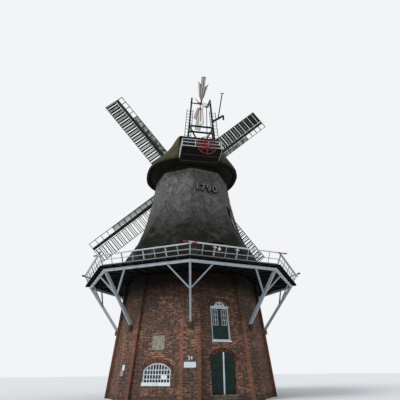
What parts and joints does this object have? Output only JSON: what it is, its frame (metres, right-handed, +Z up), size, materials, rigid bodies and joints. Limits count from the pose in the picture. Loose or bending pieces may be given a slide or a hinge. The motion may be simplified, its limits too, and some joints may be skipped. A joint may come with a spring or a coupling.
{
  "type": "thatched gallery smock windmill",
  "caption": "Octagonal smock mill: brick base with gallery, thatched smock and turning cap, shuttered sails and fantail",
  "frame": {"origin": "on the mill's vertical axis, at ground level under the ground floor", "axes": "+Z up along the mill's axis, -Y out through the entrance wall, +X to the right as seen from outside the entrance"},
  "size_m": [17.8549, 16.399, 28.2624],
  "materials": {
    "brick": "weathered red-brown brick",
    "red_brick": "orange-red dressed brick",
    "stone": "pale dressed stone",
    "floor_wood": "bare planks",
    "white_wood": "white paint",
    "blue_white_wood": "weathered pale paint",
    "dark_green_wood": "dark green paint",
    "brown_wood": "brown stain",
    "smock_thatch": "weathered reed thatch",
    "cap_thatch": "mossy reed thatch",
    "dark_boards": "tarred boards",
    "oak": "old oak",
    "blue_green_paint": "dark blue-green paint",
    "black_green_paint": "black-green paint",
    "grey_green_wood": "weathered pale paint",
    "grey_shutter": "grey paint",
    "red_paint": "red paint",
    "iron": "black paint",
    "glass": "window glass"
  },
  "bodies": {
    "tower": {"ground_floor": "floor_wood", "upper_floor": "floor_wood", "stage_floor_inside": "floor_wood", "plain_walls": "brick", "window_walls": "brick", "entrance_side_walls": "brick", "entrance_wall_above": "brick", "entrance_sill": "red_brick", "corner_piers": "brick", "door_pintles": "iron", "upper_door_frame": "white_wood", "upper_door_leaves": "dark_green_wood", "window_frames": "white_wood", "window_glass": "glass", "stone_plaque": "stone", "gallery_ring_beam": "blue_white_wood", "gallery_deck": "blue_white_wood", "gallery_corner_beams": "blue_white_wood", "gallery_struts": "blue_white_wood", "strut_braces": "blue_white_wood", "strut_shoes": "stone", "gallery_railing": "blue_white_wood", "smock_foot_thatch": "smock_thatch", "smock_thatch": "smock_thatch", "smock_hatch": "dark_boards", "gallery_door": "brown_wood", "gallery_door_hood": "dark_boards", "smock_curb": "oak"},
    "cap": {"cap_curb": "oak", "cap_sheers": "oak", "shaft_frames": "oak", "cap_soffit": "dark_boards", "cap_thatch": "cap_thatch", "cap_breast": "dark_boards", "cap_tail_wall": "dark_boards", "tail_soffit": "dark_boards", "tail_side_boards": "white_wood", "tail_platform": "white_wood", "tail_railing": "white_wood", "fan_frame": "blue_green_paint", "fan_ladders": "blue_green_paint", "fan_drive_shaft": "iron", "fan_lever": "blue_green_paint", "weather_pole": "blue_green_paint", "chain_wheel_block": "oak"},
    "sails": {"windshaft": "iron", "inner_stock": "black_green_paint", "outer_stock": "black_green_paint", "sail_frames": "black_green_paint", "sail_shutters": "grey_shutter", "leading_boards": "grey_green_wood", "striking_spider": "iron"},
    "fantail": {"fan_hub": "red_paint", "fan_blades": "white_wood"},
    "chain_wheel": {"chain_wheel": "red_paint"},
    "left_door": {"door_leaf_left": "dark_green_wood"},
    "right_door": {"door_leaf_right": "dark_green_wood"}
  },
  "joints": [
    {"name": "cap_turn", "type": "hinge", "parent": "tower", "child": "cap", "pos_m": [0, 0, 17.14], "axis": [0, 0, 1], "continuous": true},
    {"name": "sails_turn", "type": "hinge", "parent": "cap", "child": "sails", "pos_m": [0.9283, 4.22215, 19.519], "axis": [0.2115, 0.9618, 0.1736], "continuous": true},
    {"name": "fan_turn", "type": "hinge", "parent": "cap", "child": "fantail", "pos_m": [-1.03073, -4.68803, 22.14], "axis": [0.9767, -0.2147, 0], "continuous": true},
    {"name": "chain_wheel_turn", "type": "hinge", "parent": "cap", "child": "chain_wheel", "pos_m": [-0.78553, -5.20269, 17.8], "axis": [0.2147, 0.9767, 0], "continuous": true},
    {"name": "left_door_swing", "type": "hinge", "parent": "tower", "child": "left_door", "pos_m": [-0.78, -5.255, 1.35], "axis": [0, 0, -1], "range_deg": [0, 90]},
    {"name": "right_door_swing", "type": "hinge", "parent": "tower", "child": "right_door", "pos_m": [0.78, -5.255, 1.35], "axis": [0, 0, 1], "range_deg": [0, 90]}
  ]
}
